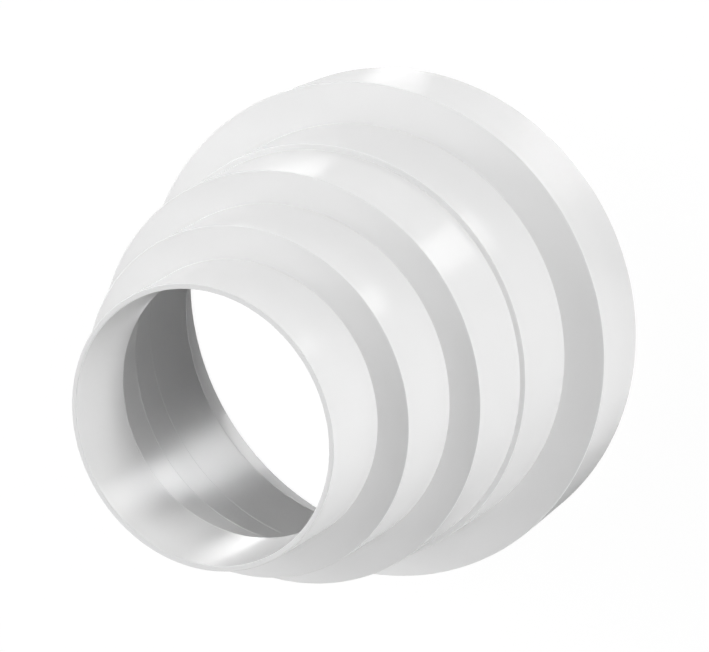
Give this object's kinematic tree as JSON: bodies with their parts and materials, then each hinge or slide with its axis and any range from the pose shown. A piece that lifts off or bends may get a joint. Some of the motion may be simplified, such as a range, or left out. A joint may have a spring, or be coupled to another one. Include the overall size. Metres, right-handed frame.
{
  "type": "duct reducer",
  "caption": "Stepped round plastic reducer: push-on spigots of falling diameter on one axis join ventilation ducts of different bores, open right through.",
  "frame": {"origin": "centre of the big end's rim, at the bottom", "axes": "+Z along the axis of all the spigots, from the big end up to the small end"},
  "size_m": [0.149, 0.149, 0.124],
  "materials": {
    "white_plastic": "smooth white injection-moulded plastic with a soft satin gloss"
  },
  "bodies": {
    "root": {"reducer_body": "white_plastic"}
  },
  "joints": []
}
